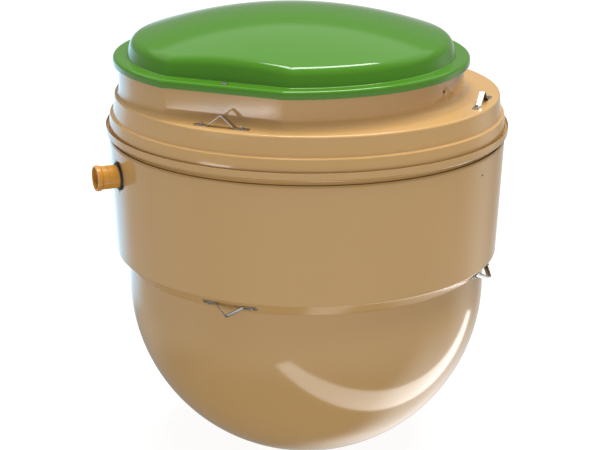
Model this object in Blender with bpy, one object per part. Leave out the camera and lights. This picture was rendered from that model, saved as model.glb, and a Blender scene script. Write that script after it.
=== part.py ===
"""Household sewage treatment plant: a round-bottomed tank with a stepped cover and an access lid.

Metres, +Z up. The origin is on the tank's axis, on the floor under its flat foot. Azimuths are in
degrees about that axis, from -Y (the front) towards +X (the right).
"""

import math

import bmesh
import bpy
from mathutils import Matrix, Vector

# Gap between pieces that touch
GAP = 0.0003
ROUND_STEPS = 72

# Shell thicknesses
TANK_WALL = 0.008
LID_WALL = 0.006

# Lower tank: a half sphere cut level at its foot, a straight collar, and a wider drum above it
FOOT_RADIUS = 0.300
BOWL_RADIUS = 0.8765
BOWL_CENTRE = math.sqrt(BOWL_RADIUS**2 - FOOT_RADIUS**2)
BOWL_TOP = 0.945
DRUM_FOOT = 1.006
DRUM_FOOT_RADIUS = 0.9335
DRUM_CORNER = 0.012
DRUM_TOP = 1.569
DRUM_TOP_RADIUS = 0.9565

# Flange joint between tank and cover
FLANGE_RADIUS = 0.970
FLANGE_TOP = 1.631
FLANGE_JOINT = 1.598
FLANGE_INNER_RADIUS = 0.9485
FLANGE_LIP_RADIUS = 0.964
FLANGE_CHAMFER = 0.003

# Cover: two drafted walls with a ledge between them, under a level deck
COVER_FOOT_RADIUS = 0.9565
LEDGE_HEIGHT = 1.687
LEDGE_RADIUS = 0.949
LEDGE_INNER_RADIUS = 0.935
LEDGE_ROUND = 0.004
DECK_HEIGHT = 1.7835
DECK_RADIUS = 0.9265
DECK_ROUND = 0.012
DECK_EDGE_DEPTH = 0.020

# Access neck and lid share an axis that is left of the tank's, and one flat side
NECK_OFFSET = -0.0757
FLAT_AZIMUTH = -22.0
NECK_RADIUS = 0.828
NECK_FLAT = 0.773
NECK_CORNER = 0.060
NECK_FILLET = 0.047
NECK_STRAIGHT = 0.003
LID_RIM_RADIUS = 0.8535
LID_RIM_FLAT = 0.801
LID_RIM_CORNER = 0.040
LID_SKIRT_FOOT = 1.925
LID_RIM_TOP = 1.961
LID_RIM_ROUND = 0.016
DOME_FOOT_RADIUS = 0.786
DOME_FOOT_FLAT = 0.7275
DOME_CORNER = 0.050
DOME_DRAFT = 0.014
DOME_FOOT_FILLET = 0.006
SHOULDER_RADIUS = 0.783
SHOULDER_HEIGHT = 2.024
SHOULDER_ROUND = 0.048
LID_APEX = 2.171

# Side counts of the D-shaped outline: its round part, each corner and the flat
ARC_SIDES = 54
CORNER_SIDES = 3
FLAT_SIDES = 8

# Pipe stubs, 110 mm drain pipe through rubber sleeves
PIPE_RADIUS = 0.055
PIPE_WALL = 0.0032
PIPE_INNER_END = 0.860
INLET_AZIMUTH = -67.5
INLET_HEIGHT = 1.439
INLET_MOUTH = 1.0665
COLLAR_RADIUS = 0.0605
COLLAR_LENGTH = 0.028
RIDGE_BACK = 0.0565
RIDGE_RISE = 0.0008
RIDGE_HALF_WIDTH = 0.003
OUTLET_AZIMUTH = 112.5
OUTLET_HEIGHT = 1.367
OUTLET_MOUTH = 1.055
GASKET_RADIUS = 0.0665
GASKET_DEPTH = 0.012
SLEEVE_RADIUS = 0.0600
PIPE_SIDES = 32

# Lifting and anchor lugs, bent from flat bar
LUG_WIDTH = 0.025
LUG_THICKNESS = 0.005
LUG_HALF_LENGTH = 0.133
LUG_BEND = 0.068
LUG_RISE = 0.055
LUG_TIP = 0.007
LUG_HOLE = 0.0055
BOLT_OFFSET = 0.0995
LOWER_LUG_AZIMUTHS = (-22.3, 67.7, 157.7, 247.7)
# Azimuth, distance from the axis and facing azimuth of each lug on the deck
UPPER_LUG_PLACES = ((-25.6, 0.863, -22.0), (69.2, 0.870, 69.2), (159.2, 0.870, 159.2))

# Bolt with washer
SHANK_RADIUS = 0.0050
WASHER_RADIUS = 0.0090
WASHER_THICKNESS = 0.0016
HEAD_RADIUS = 0.0072
HEAD_HEIGHT = 0.0085
BOLT_SIDES = 12

# Small fittings
LOCK_LENGTH = 0.028
LOCK_WIDTH = 0.016
LOCK_HEIGHT = 0.008
LOCK_DISTANCE = 0.766
PLUG_SIDES = 12
DRUM_PLUG_AZIMUTH = 57.5
DRUM_PLUG_HEIGHT = 1.492
DRUM_PLUG_RADIUS = 0.007
NECK_PLUG_AZIMUTH = 57.5
NECK_PLUG_HEIGHT = 1.868
NECK_PLUG_RADIUS = 0.008
PLUG_HEIGHT = 0.004


def clear_scene():
    for old in list(bpy.data.objects):
        bpy.data.objects.remove(old)


def make_material(name, colour, roughness, metallic=0.0):
    material = bpy.data.materials.new(name)
    material.use_nodes = True
    shader = material.node_tree.nodes["Principled BSDF"]
    shader.inputs["Base Color"].default_value = (*colour, 1.0)
    shader.inputs["Roughness"].default_value = roughness
    shader.inputs["Metallic"].default_value = metallic
    return material


def outward(azimuth):
    """Level unit vector that points away from the axis at an azimuth in degrees."""
    angle = math.radians(azimuth)
    return Vector((math.sin(angle), -math.cos(angle), 0.0))


def radial_frame(azimuth):
    """Rotation whose X runs along the wall to the right, Y up and Z away from the axis."""
    away = outward(azimuth)
    up = Vector((0.0, 0.0, 1.0))
    return Matrix((up.cross(away), up, away)).transposed().to_4x4()


def finish_object(name, bm, material, smooth_angle=35.0):
    bmesh.ops.recalc_face_normals(bm, faces=bm.faces)
    mesh = bpy.data.meshes.new(name)
    bm.to_mesh(mesh)
    bm.free()
    mesh.materials.append(material)
    mesh.shade_smooth()
    mesh.set_sharp_from_angle(angle=math.radians(smooth_angle))
    thing = bpy.data.objects.new(name, mesh)
    bpy.context.scene.collection.objects.link(thing)
    return thing


def loft(rings, closed=False):
    """Mesh through rings of equal counts; a one-point ring is a pole, and closed joins last to first."""
    bm = bmesh.new()
    rows = [[bm.verts.new(point) for point in ring] for ring in rings]
    pairs = list(zip(rows, rows[1:]))
    if closed:
        pairs.append((rows[-1], rows[0]))
    for upper, lower in pairs:
        count = max(len(upper), len(lower))
        for i in range(count):
            j = (i + 1) % count
            if len(upper) == 1:
                bm.faces.new((upper[0], lower[i], lower[j]))
            elif len(lower) == 1:
                bm.faces.new((upper[i], lower[0], upper[j]))
            else:
                bm.faces.new((upper[i], lower[i], lower[j], upper[j]))
    return bm


def turned(name, profile, material, sides=ROUND_STEPS, closed=True, smooth_angle=35.0):
    """Solid of revolution about +Z; a profile point with no radius is a pole."""
    rings = []
    for radius, height in profile:
        if radius == 0.0:
            rings.append([Vector((0.0, 0.0, height))])
            continue
        rings.append([
            Vector((radius * math.sin(turn), -radius * math.cos(turn), height))
            for turn in (2 * math.pi * i / sides for i in range(sides))
        ])
    return finish_object(name, loft(rings, closed), material, smooth_angle)


def arc(centre, radius, start, end, steps):
    """Points (r, z) along an arc, with angles in degrees from +r towards +z."""
    angles = [math.radians(start + (end - start) * i / steps) for i in range(steps + 1)]
    return [(centre[0] + radius * math.cos(a), centre[1] + radius * math.sin(a)) for a in angles]


def cut(thing, cutter):
    """Boolean difference that keeps the cutter as a hidden helper."""
    cutter.hide_render = True
    cutter.display_type = "WIRE"
    difference = thing.modifiers.new("cut_" + cutter.name, "BOOLEAN")
    difference.operation = "DIFFERENCE"
    difference.object = cutter


def drum_radius(height):
    share = (height - DRUM_FOOT) / (DRUM_TOP - DRUM_FOOT)
    return DRUM_FOOT_RADIUS + share * (DRUM_TOP_RADIUS - DRUM_FOOT_RADIUS)


def drum_face(across, height):
    """Distance from the axis to the drum's flat side whose middle faces a fitting."""
    half_turn = math.pi / ROUND_STEPS
    corner = drum_radius(height) * math.sin(half_turn)
    beyond = max(0.0, abs(across) - corner)
    return drum_radius(height) * math.cos(half_turn) - beyond * math.tan(2 * half_turn)


def make_bowl(material):
    inner = BOWL_RADIUS - TANK_WALL
    foot_angle = math.degrees(math.asin(-BOWL_CENTRE / BOWL_RADIUS))
    floor_top = TANK_WALL * 1.5
    inner_angle = math.degrees(math.asin((floor_top - BOWL_CENTRE) / inner))
    profile = [(0.0, floor_top)]
    profile += arc((0.0, BOWL_CENTRE), inner, inner_angle, 0.0, 8)
    profile += [(inner, BOWL_TOP), (BOWL_RADIUS, BOWL_TOP)]
    profile += arc((0.0, BOWL_CENTRE), BOWL_RADIUS, 0.0, foot_angle, 14)
    profile.append((0.0, 0.0))
    return turned("tank_bowl", profile, material, closed=False)


def make_drum(material):
    """Drafted wall, rounded foot and sloping shelf down to the bowl."""
    shelf_foot = BOWL_TOP + GAP
    slope = math.atan2(DRUM_FOOT - shelf_foot, DRUM_FOOT_RADIUS - BOWL_RADIUS)
    reach = DRUM_CORNER * math.tan((math.pi / 2 - slope) / 2)
    corner_top = (DRUM_FOOT_RADIUS, DRUM_FOOT + reach)
    corner_centre = (DRUM_FOOT_RADIUS - DRUM_CORNER, corner_top[1])
    turn = math.degrees(math.pi / 2 - slope)
    outer = [(DRUM_TOP_RADIUS, DRUM_TOP)]
    outer += arc(corner_centre, DRUM_CORNER, 0.0, -turn, 3)
    outer.append((BOWL_RADIUS, shelf_foot))
    inner_shelf = (BOWL_RADIUS - TANK_WALL, shelf_foot)
    inner_foot = (DRUM_FOOT_RADIUS - TANK_WALL, DRUM_FOOT + TANK_WALL * 0.5)
    inner_top = (DRUM_TOP_RADIUS - TANK_WALL, DRUM_TOP)
    drum = turned("tank_drum", outer + [inner_shelf, inner_foot, inner_top], material)
    for label, azimuth, height in (
        ("inlet", INLET_AZIMUTH, INLET_HEIGHT),
        ("outlet", OUTLET_AZIMUTH, OUTLET_HEIGHT),
    ):
        near, far = PIPE_INNER_END, FLANGE_RADIUS + TANK_WALL
        profile = [(0.0, near), (SLEEVE_RADIUS, near), (SLEEVE_RADIUS, far), (0.0, far)]
        hole = turned(label + "_hole", profile, material, PIPE_SIDES, closed=False)
        hole.matrix_world = Matrix.Translation((0.0, 0.0, height)) @ radial_frame(azimuth)
        cut(drum, hole)
    return drum


def make_tank_flange(material):
    profile = [
        (FLANGE_RADIUS - FLANGE_CHAMFER, FLANGE_JOINT),
        (FLANGE_RADIUS, FLANGE_JOINT - FLANGE_CHAMFER),
        (FLANGE_LIP_RADIUS, DRUM_TOP + GAP),
        (FLANGE_INNER_RADIUS, DRUM_TOP + GAP),
        (FLANGE_INNER_RADIUS, FLANGE_JOINT),
    ]
    return turned("tank_flange", profile, material)


def make_cover_wall(material):
    """Flange, lower wall, ledge and upper wall of the cover, in one moulding."""
    wall_top = DECK_HEIGHT - DECK_EDGE_DEPTH - GAP
    joint = FLANGE_JOINT + GAP
    ledge_corner = (LEDGE_RADIUS - LEDGE_ROUND, LEDGE_HEIGHT - LEDGE_ROUND)
    outer = [(DECK_RADIUS, wall_top), (LEDGE_INNER_RADIUS, LEDGE_HEIGHT + LEDGE_ROUND)]
    outer.append((LEDGE_INNER_RADIUS + LEDGE_ROUND, LEDGE_HEIGHT + LEDGE_ROUND * 0.25))
    outer += arc(ledge_corner, LEDGE_ROUND, 90.0, 0.0, 2)
    outer += [
        (COVER_FOOT_RADIUS, FLANGE_TOP),
        (FLANGE_RADIUS - FLANGE_CHAMFER, FLANGE_TOP),
        (FLANGE_RADIUS, FLANGE_TOP - FLANGE_CHAMFER),
        (FLANGE_RADIUS, joint + FLANGE_CHAMFER),
        (FLANGE_RADIUS - FLANGE_CHAMFER, joint),
    ]
    inner = [
        (FLANGE_INNER_RADIUS, joint),
        (COVER_FOOT_RADIUS - TANK_WALL, FLANGE_TOP),
        (LEDGE_RADIUS - TANK_WALL, LEDGE_HEIGHT - TANK_WALL),
        (LEDGE_INNER_RADIUS - TANK_WALL, LEDGE_HEIGHT - TANK_WALL * 0.5),
        (DECK_RADIUS - TANK_WALL, wall_top),
    ]
    return turned("cover_wall", outer + inner, material)


def d_outline(radius, flat, corner):
    """Points and outward normals of a circle with one flat side, about the neck's axis.

    The list runs from the middle of one corner's start, round the circle, and along the flat.
    """
    half_angle = math.acos((flat - corner) / (radius - corner))
    round_part = 2 * math.pi - 2 * half_angle
    outline = []
    for i in range(ARC_SIDES + 1):
        away = outward(FLAT_AZIMUTH + math.degrees(half_angle + round_part * i / ARC_SIDES))
        outline.append((away * radius, away))
    for side in (-1, 1):
        centre = outward(FLAT_AZIMUTH + math.degrees(side * half_angle)) * (radius - corner)
        if side < 0:
            angles = [-half_angle * (1 - i / CORNER_SIDES) for i in range(1, CORNER_SIDES + 1)]
        else:
            angles = [half_angle * i / CORNER_SIDES for i in range(CORNER_SIDES)]
        ring = []
        for angle in angles:
            away = outward(FLAT_AZIMUTH + math.degrees(angle))
            ring.append((centre + away * corner, away))
        if side < 0:
            start = ring[-1][0]
        else:
            away = outward(FLAT_AZIMUTH)
            end = ring[0][0]
            outline += [(start.lerp(end, i / FLAT_SIDES), away) for i in range(1, FLAT_SIDES)]
        outline += ring
    return outline


NECK_AXIS = Vector((NECK_OFFSET, 0.0, 0.0))


def placed(points, height):
    return [NECK_AXIS + Vector((point.x, point.y, height)) for point in points]


def offset_ring(outline, distance, height):
    return placed([point + normal * distance for point, normal in outline], height)


def reach_to_deck_edge(point, normal):
    """Distance from a neck point, along its normal, to the deck's round edge."""
    start = NECK_AXIS + point
    along = start.dot(normal)
    return -along + math.sqrt(along**2 - start.length_squared + DECK_RADIUS**2)


def make_deck(material):
    """Level roof of the tank with the flared foot of the neck and a rounded outer edge."""
    outline = d_outline(NECK_RADIUS, NECK_FLAT, NECK_CORNER)
    reaches = [reach_to_deck_edge(point, normal) for point, normal in outline]
    under = DECK_HEIGHT - TANK_WALL
    top = DECK_HEIGHT + NECK_FILLET + NECK_STRAIGHT
    fillet_steps = 5

    def ring(distances, height):
        points = [point + normal * away for (point, normal), away in zip(outline, distances)]
        return placed(points, height)

    outer_flare = [min(NECK_FILLET, reach - DECK_ROUND - 0.001) for reach in reaches]
    inner_flare = [min(NECK_FILLET, reach - TANK_WALL - 0.001) for reach in reaches]
    rings = [ring([0.0] * len(outline), top)]
    for i in range(fillet_steps + 1):
        turn = math.pi / 2 * i / fillet_steps
        height = DECK_HEIGHT + NECK_FILLET * (1 - math.sin(turn))
        rings.append(ring([flare * (1 - math.cos(turn)) for flare in outer_flare], height))
    for i in range(3):
        turn = math.pi / 2 * i / 2
        inset = DECK_ROUND * (1 - math.sin(turn))
        drop = DECK_ROUND * (1 - math.cos(turn))
        rings.append(ring([reach - inset for reach in reaches], DECK_HEIGHT - drop))
    edge_foot = DECK_HEIGHT - DECK_EDGE_DEPTH
    rings.append(ring(reaches, edge_foot))
    rings.append(ring([reach - TANK_WALL for reach in reaches], edge_foot))
    rings.append(ring([reach - TANK_WALL for reach in reaches], under))
    for i in range(fillet_steps, -1, -1):
        turn = math.pi / 2 * i / fillet_steps
        height = under + (NECK_FILLET + TANK_WALL) * (1 - math.sin(turn))
        distances = [-TANK_WALL + (flare + TANK_WALL) * (1 - math.cos(turn)) for flare in inner_flare]
        rings.append(ring(distances, height))
    rings.append(ring([-TANK_WALL] * len(outline), top))
    return finish_object("cover_deck", loft(rings, closed=True), material)


def make_neck(material):
    outline = d_outline(NECK_RADIUS, NECK_FLAT, NECK_CORNER)
    foot = DECK_HEIGHT + NECK_FILLET + NECK_STRAIGHT + GAP
    top = LID_RIM_TOP - LID_WALL - GAP
    rings = [
        offset_ring(outline, 0.0, top),
        offset_ring(outline, 0.0, foot),
        offset_ring(outline, -TANK_WALL, foot),
        offset_ring(outline, -TANK_WALL, top),
    ]
    return finish_object("access_neck", loft(rings, closed=True), material)


def crown_height(reach):
    """Height of the lid's crown at a distance from the lid's axis."""
    return LID_APEX - (LID_APEX - SHOULDER_HEIGHT) * (reach / SHOULDER_RADIUS) ** 2


def dome_rings(inset, crown_shares, round_steps):
    """Rings of the dome from the crown's edge to its foot, shrunk by inset for the inner face.

    Each ring follows the D outline; on the flat the crown's edge rises where it is nearer the axis.
    """
    wall_top = d_outline(
        DOME_FOOT_RADIUS - DOME_DRAFT - inset,
        DOME_FOOT_FLAT - DOME_DRAFT - inset,
        DOME_CORNER - inset,
    )
    round_radius = SHOULDER_ROUND - inset
    wall_tilt = math.radians(72.0)
    edges = []
    for point, normal in wall_top:
        reach = point.length
        slope = math.atan(2 * (LID_APEX - SHOULDER_HEIGHT) * reach / SHOULDER_RADIUS**2)
        inward = round_radius * (math.sin(wall_tilt) - math.sin(slope))
        start = point - normal * inward
        edges.append((start, normal, slope, crown_height(start.length) - inset / math.cos(slope)))
    rings = []
    for share in crown_shares:
        ring = []
        for start, normal, slope, height in edges:
            spot = start * share
            depth = inset / math.cos(math.atan(math.tan(slope) * share))
            ring.append(NECK_AXIS + Vector((spot.x, spot.y, crown_height(spot.length) - depth)))
        rings.append(ring)
    for i in range(round_steps + 1):
        ring = []
        for start, normal, slope, height in edges:
            tilt = slope + (wall_tilt - slope) * i / round_steps
            out = round_radius * (math.sin(tilt) - math.sin(slope))
            drop = round_radius * (math.cos(slope) - math.cos(tilt))
            spot = start + normal * out
            ring.append(NECK_AXIS + Vector((spot.x, spot.y, height - drop)))
        rings.append(ring)
    return rings


def make_lid(material):
    """Domed lid with a level rim and a short skirt that hangs round the neck."""
    foot = d_outline(DOME_FOOT_RADIUS, DOME_FOOT_FLAT, DOME_CORNER)
    rim = d_outline(LID_RIM_RADIUS, LID_RIM_FLAT, LID_RIM_CORNER)
    shares = [0.3, 0.6, 0.85]
    rings = [[NECK_AXIS + Vector((0.0, 0.0, LID_APEX))]]
    rings += dome_rings(0.0, shares, 4)
    rings.append(offset_ring(foot, 0.0, LID_RIM_TOP + DOME_FOOT_FILLET))
    rings.append(offset_ring(foot, DOME_FOOT_FILLET, LID_RIM_TOP))
    for i in range(4):
        turn = math.pi / 2 * i / 3
        inset = LID_RIM_ROUND * (1 - math.sin(turn))
        drop = LID_RIM_ROUND * (1 - math.cos(turn))
        rings.append(offset_ring(rim, -inset, LID_RIM_TOP - drop))
    rings.append(offset_ring(rim, 0.0, LID_SKIRT_FOOT))
    rings.append(offset_ring(rim, -LID_WALL, LID_SKIRT_FOOT))
    under = LID_RIM_TOP - LID_WALL
    chamfer = LID_RIM_ROUND - LID_WALL
    rings.append(offset_ring(rim, -LID_WALL, under - chamfer))
    rings.append(offset_ring(rim, -LID_RIM_ROUND, under))
    rings.append(offset_ring(foot, -LID_WALL, under))
    inner = dome_rings(LID_WALL, shares[1:], 2)
    rings += list(reversed(inner[len(shares) - 1:]))
    rings += list(reversed(inner[:len(shares) - 1]))
    rings.append([NECK_AXIS + Vector((0.0, 0.0, LID_APEX - LID_WALL))])
    return finish_object("lid", loft(rings), material)


def make_lock(material):
    """Small catch on the rim, in front of the dome's flat."""
    bm = bmesh.new()
    size = Matrix.Diagonal((LOCK_LENGTH, LOCK_WIDTH, LOCK_HEIGHT, 1.0))
    bmesh.ops.create_cube(bm, size=1.0, matrix=size)
    upright = [edge for edge in bm.edges if abs(edge.verts[0].co.z - edge.verts[1].co.z) > GAP]
    bmesh.ops.bevel(bm, geom=upright, offset=LOCK_WIDTH * 0.3, segments=3, affect="EDGES")
    lock = finish_object("lid_lock", bm, material)
    spot = NECK_AXIS + outward(FLAT_AZIMUTH) * LOCK_DISTANCE
    spot.z = LID_RIM_TOP + GAP + LOCK_HEIGHT / 2
    lock.matrix_world = Matrix.Translation(spot) @ Matrix.Rotation(math.radians(FLAT_AZIMUTH), 4, "Z")
    return lock


def place_radial(thing, azimuth, height):
    thing.matrix_world = Matrix.Translation((0.0, 0.0, height)) @ radial_frame(azimuth)
    return thing


def make_inlet(material):
    """Stub with a fine ridge round its barrel and a collar with a rounded lip at its mouth."""
    bore = PIPE_RADIUS - PIPE_WALL
    ridge = INLET_MOUTH - RIDGE_BACK
    collar = INLET_MOUTH - COLLAR_LENGTH
    swell = COLLAR_RADIUS - PIPE_RADIUS
    profile = [
        (PIPE_RADIUS, PIPE_INNER_END),
        (PIPE_RADIUS, ridge - RIDGE_HALF_WIDTH),
        (PIPE_RADIUS + RIDGE_RISE, ridge),
        (PIPE_RADIUS, ridge + RIDGE_HALF_WIDTH),
        (PIPE_RADIUS, collar),
        (COLLAR_RADIUS, collar + swell * 1.4),
        (COLLAR_RADIUS, INLET_MOUTH - swell * 1.6),
        (PIPE_RADIUS + swell * 0.6, INLET_MOUTH - swell * 0.3),
        (PIPE_RADIUS, INLET_MOUTH),
        (bore, INLET_MOUTH),
        (bore, PIPE_INNER_END),
    ]
    pipe = turned("inlet_pipe", profile, material, PIPE_SIDES)
    return place_radial(pipe, INLET_AZIMUTH, INLET_HEIGHT)


def make_outlet(material):
    """Plain spigot with a chamfered end."""
    bore = PIPE_RADIUS - PIPE_WALL
    profile = [
        (PIPE_RADIUS, PIPE_INNER_END),
        (PIPE_RADIUS, OUTLET_MOUTH - 0.006),
        (PIPE_RADIUS - PIPE_WALL * 0.5, OUTLET_MOUTH),
        (bore, OUTLET_MOUTH),
        (bore, PIPE_INNER_END),
    ]
    pipe = turned("outlet_pipe", profile, material, PIPE_SIDES)
    return place_radial(pipe, OUTLET_AZIMUTH, OUTLET_HEIGHT)


def make_gasket(label, azimuth, height, material):
    """Rubber ring that follows the drum wall, with a sleeve through the wall round the pipe."""
    inner = PIPE_RADIUS + GAP
    sleeve = SLEEVE_RADIUS - 2 * GAP
    bevel = GASKET_DEPTH * 0.35
    profile = [
        (inner, GASKET_DEPTH),
        (inner, -TANK_WALL * 1.5),
        (sleeve, -TANK_WALL * 1.5),
        (sleeve, 2 * GAP),
        (GASKET_RADIUS, 2 * GAP),
        (GASKET_RADIUS, GASKET_DEPTH - bevel),
        (GASKET_RADIUS - bevel, GASKET_DEPTH),
    ]
    rings = []
    for radius, stand in profile:
        turns = [2 * math.pi * i / PIPE_SIDES for i in range(PIPE_SIDES)]
        spots = [(radius * math.sin(turn), -radius * math.cos(turn)) for turn in turns]
        rings.append([Vector((x, y, drum_face(x, height + y) + stand)) for x, y in spots])
    gasket = finish_object(label + "_gasket", loft(rings, closed=True), material)
    return place_radial(gasket, azimuth, height)


def lug_outline():
    """Side view of the bent bar as (along, rise) points: underside out, then top back."""
    half, bend, rise, thick, tip = LUG_HALF_LENGTH, LUG_BEND, LUG_RISE, LUG_THICKNESS, LUG_TIP
    lean = math.atan2(rise - thick, bend - tip)
    shift = thick * math.tan(lean / 2)
    under = [(-half, 0.0), (-BOLT_OFFSET, 0.0), (-bend, 0.0), (-tip, rise - thick), (tip, rise - thick)]
    under += [(bend, 0.0), (BOLT_OFFSET, 0.0), (half, 0.0)]
    top = [(half, thick), (BOLT_OFFSET, thick), (bend + shift, thick), (tip + shift, rise)]
    top += [(-tip - shift, rise), (-bend - shift, thick), (-BOLT_OFFSET, thick), (-half, thick)]
    return under, top


def make_lug(name, material, to_world):
    """Bent bar; to_world turns (along, across, rise) into a place."""
    under, top = lug_outline()
    outline = under + top
    bm = bmesh.new()
    sides = []
    for across in (-LUG_WIDTH / 2, LUG_WIDTH / 2):
        sides.append([bm.verts.new(to_world(along, across, rise)) for along, rise in outline])
    count = len(outline)
    for i in range(count):
        j = (i + 1) % count
        bm.faces.new((sides[0][i], sides[0][j], sides[1][j], sides[1][i]))
    for side in sides:
        for i in range(len(under) - 1):
            bm.faces.new((side[i], side[i + 1], side[count - 2 - i], side[count - 1 - i]))
    lug = finish_object(name, bm, material)
    for end in (-1, 1):
        centre = to_world(end * BOLT_OFFSET, 0.0, LUG_THICKNESS / 2)
        up = to_world(end * BOLT_OFFSET, 0.0, LUG_THICKNESS) - to_world(end * BOLT_OFFSET, 0.0, 0.0)
        depth = LUG_THICKNESS * 2
        profile = [(0.0, depth), (LUG_HOLE, depth), (LUG_HOLE, -depth), (0.0, -depth)]
        hole = turned(f"{name}_hole_{(end + 3) // 2}", profile, material, BOLT_SIDES, closed=False)
        hole.matrix_world = Matrix.Translation(centre) @ up.to_track_quat("Z", "Y").to_matrix().to_4x4()
        cut(lug, hole)
    return lug


def make_bolt(name, material, base, up):
    """Bolt through a lug's foot: shank, washer and domed head, from the foot's underside up."""
    seat = LUG_THICKNESS + GAP
    washer = seat + WASHER_THICKNESS
    head = washer + HEAD_HEIGHT
    profile = [
        (0.0, 0.0),
        (SHANK_RADIUS, 0.0),
        (SHANK_RADIUS, seat),
        (WASHER_RADIUS, seat),
        (WASHER_RADIUS, washer),
        (HEAD_RADIUS, washer),
        (HEAD_RADIUS, head - HEAD_HEIGHT * 0.3),
        (HEAD_RADIUS * 0.7, head),
        (0.0, head),
    ]
    bolt = turned(name, profile, material, BOLT_SIDES, closed=False)
    bolt.matrix_world = Matrix.Translation(base) @ up.to_track_quat("Z", "Y").to_matrix().to_4x4()
    return bolt


def upper_lug_place(azimuth, distance, facing):
    """Flat on the deck at a place about the tank's axis, square to the way it faces."""
    middle = outward(azimuth) * distance
    away = outward(facing)
    along_bar = Vector((-away.y, away.x, 0.0))
    floor = DECK_HEIGHT + GAP

    def to_world(along, across, rise):
        spot = middle + away * across + along_bar * along
        return Vector((spot.x, spot.y, floor + rise))

    return to_world


def lower_lug_place(azimuth):
    """Bent round the sloping shelf, square to it, with the bight pointing out and down."""
    shelf_foot = BOWL_TOP + GAP
    run = DRUM_FOOT_RADIUS - BOWL_RADIUS
    rise_of_shelf = DRUM_FOOT - shelf_foot
    length = math.hypot(run, rise_of_shelf)
    middle_radius = BOWL_RADIUS + run / 2
    middle_height = shelf_foot + rise_of_shelf / 2
    out, down = rise_of_shelf / length, run / length

    def to_world(along, across, rise):
        stand = rise + GAP * 2
        away = outward(azimuth + math.degrees(along / middle_radius))
        radius = middle_radius + across * run / length + stand * out
        height = middle_height + across * rise_of_shelf / length - stand * down
        return Vector((away.x * radius, away.y * radius, height))

    return to_world


def make_lugs(material, bolt_material):
    upper = [upper_lug_place(*place) for place in UPPER_LUG_PLACES]
    lower = [lower_lug_place(azimuth) for azimuth in LOWER_LUG_AZIMUTHS]
    for label, places in (("lifting_lug", upper), ("anchor_lug", lower)):
        for number, to_world in enumerate(places, 1):
            name = f"{label}_{number}"
            make_lug(name, material, to_world)
            for end in (-1, 1):
                base = to_world(end * BOLT_OFFSET, 0.0, 0.0)
                up = to_world(end * BOLT_OFFSET, 0.0, 1.0) - base
                make_bolt(f"{name}_bolt_{(end + 3) // 2}", bolt_material, base, up)


def make_plug(name, radius, material):
    """Low domed plug head."""
    profile = [
        (0.0, 0.0),
        (radius, 0.0),
        (radius, PLUG_HEIGHT * 0.5),
        (radius * 0.6, PLUG_HEIGHT),
        (0.0, PLUG_HEIGHT),
    ]
    return turned(name, profile, material, PLUG_SIDES, closed=False)


def make_plugs(metal, brown):
    drum_plug = make_plug("drum_plug", DRUM_PLUG_RADIUS, metal)
    face = drum_face(0.0, DRUM_PLUG_HEIGHT + DRUM_PLUG_RADIUS) + GAP
    spot = outward(DRUM_PLUG_AZIMUTH) * face
    spot.z = DRUM_PLUG_HEIGHT
    drum_plug.matrix_world = Matrix.Translation(spot) @ radial_frame(DRUM_PLUG_AZIMUTH)
    neck_plug = make_plug("neck_plug", NECK_PLUG_RADIUS, brown)
    spot = NECK_AXIS + outward(NECK_PLUG_AZIMUTH) * (NECK_RADIUS + GAP)
    spot.z = NECK_PLUG_HEIGHT
    neck_plug.matrix_world = Matrix.Translation(spot) @ radial_frame(NECK_PLUG_AZIMUTH)


def main():
    clear_scene()
    shell = make_material("beige_laminate", (0.42, 0.27, 0.13), 0.32)
    green = make_material("green_laminate", (0.09, 0.30, 0.04), 0.25)
    ochre = make_material("ochre_pipe", (0.60, 0.30, 0.06), 0.40)
    rubber = make_material("black_rubber", (0.03, 0.035, 0.04), 0.60)
    steel = make_material("stainless_steel", (0.45, 0.44, 0.42), 0.35, 1.0)
    brown = make_material("brown_plug", (0.30, 0.14, 0.05), 0.50)
    make_bowl(shell)
    make_drum(shell)
    make_tank_flange(shell)
    make_cover_wall(shell)
    make_deck(shell)
    make_neck(shell)
    make_lid(green)
    make_lock(steel)
    make_inlet(ochre)
    make_outlet(ochre)
    make_gasket("inlet", INLET_AZIMUTH, INLET_HEIGHT, rubber)
    make_gasket("outlet", OUTLET_AZIMUTH, OUTLET_HEIGHT, rubber)
    make_lugs(steel, steel)
    make_plugs(steel, brown)


main()
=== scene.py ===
"""Household sewage treatment plant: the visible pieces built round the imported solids.

Metres, +Z up. Azimuths are in degrees about the tank's axis, from -Y (the front) towards +X (the
right). The tank, its cover and its lid are thin mouldings, drawn here with fine steps and the small
radii that the tools of such mouldings leave.
"""

import math

import bmesh
import bpy
from mathutils import Matrix, Vector


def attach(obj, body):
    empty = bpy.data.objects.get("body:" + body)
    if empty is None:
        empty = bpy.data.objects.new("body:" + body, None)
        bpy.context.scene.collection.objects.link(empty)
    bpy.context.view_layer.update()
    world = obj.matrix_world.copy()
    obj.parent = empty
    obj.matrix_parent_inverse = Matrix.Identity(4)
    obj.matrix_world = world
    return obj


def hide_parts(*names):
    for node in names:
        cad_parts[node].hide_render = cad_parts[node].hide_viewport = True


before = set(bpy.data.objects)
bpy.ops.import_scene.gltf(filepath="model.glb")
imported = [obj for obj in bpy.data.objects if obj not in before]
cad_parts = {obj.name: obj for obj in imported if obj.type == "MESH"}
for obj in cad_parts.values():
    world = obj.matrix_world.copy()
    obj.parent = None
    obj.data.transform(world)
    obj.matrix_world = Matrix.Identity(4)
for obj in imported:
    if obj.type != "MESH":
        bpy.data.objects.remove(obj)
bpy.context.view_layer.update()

GAP = 0.0003
ROUND_STEPS = 288
LONGEST_STEP = 0.045
HOLD = 0.0012

# Shell thicknesses
TANK_WALL = 0.008
LID_WALL = 0.006

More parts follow.
